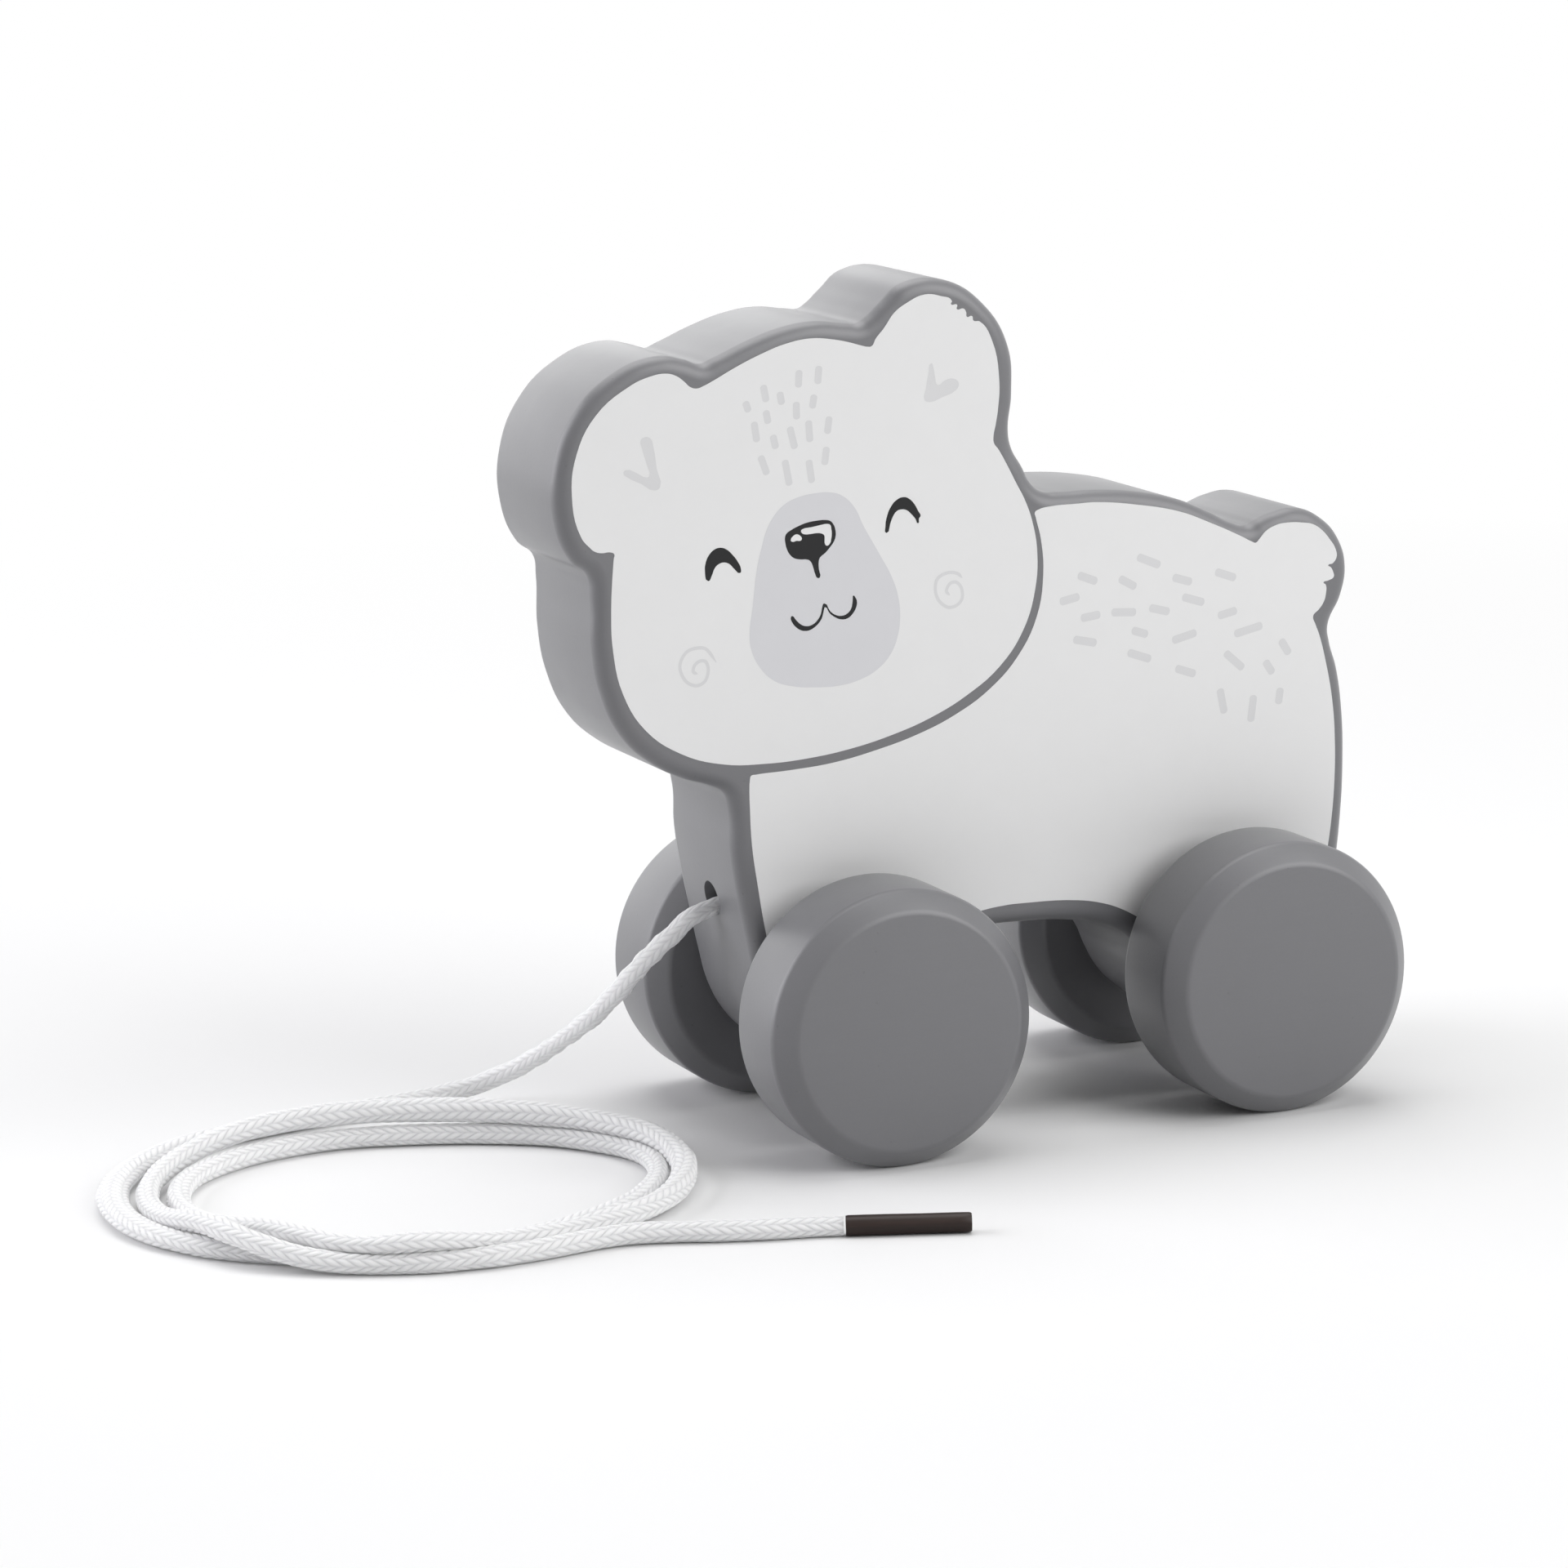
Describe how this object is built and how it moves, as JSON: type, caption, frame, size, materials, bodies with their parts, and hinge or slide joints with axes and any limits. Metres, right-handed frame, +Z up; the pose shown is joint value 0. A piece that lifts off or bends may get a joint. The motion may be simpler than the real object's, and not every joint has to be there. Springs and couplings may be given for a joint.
{
  "type": "pull-along toy bear",
  "caption": "Flat sawn wooden bear standing on wheeled axles, with a pull cord that leaves its chest and lies in a loose coil.",
  "frame": {"origin": "on the ground, under the middle of the bear and its wheels, cord left out", "axes": "-X the way the bear faces, +Y to the bear's right, along the axles, +Z up"},
  "size_m": [0.1903, 0.1001, 0.1227],
  "materials": {
    "grey_paint": "satin grey paint",
    "dowel_wood": "bare turned dowel",
    "cord_white": "white braided cord",
    "tip_brown": "dark brown gloss"
  },
  "bodies": {
    "body": {"bear_board": "grey_paint", "cord_lead": "cord_white", "cord_coil": "cord_white", "cord_tail": "cord_white", "cord_tip": "tip_brown"},
    "front_wheelset": {"front_axle": "dowel_wood", "front_left_wheel": "grey_paint", "front_right_wheel": "grey_paint"},
    "rear_wheelset": {"rear_axle": "dowel_wood", "rear_left_wheel": "grey_paint", "rear_right_wheel": "grey_paint"}
  },
  "joints": [
    {"name": "front_axle_spin", "type": "hinge", "parent": "body", "child": "front_wheelset", "pos_m": [-0.0194, 0, 0.02], "axis": [0, 1, 0], "continuous": true},
    {"name": "rear_axle_spin", "type": "hinge", "parent": "body", "child": "rear_wheelset", "pos_m": [0.0416, 0, 0.02], "axis": [0, 1, 0], "continuous": true}
  ]
}
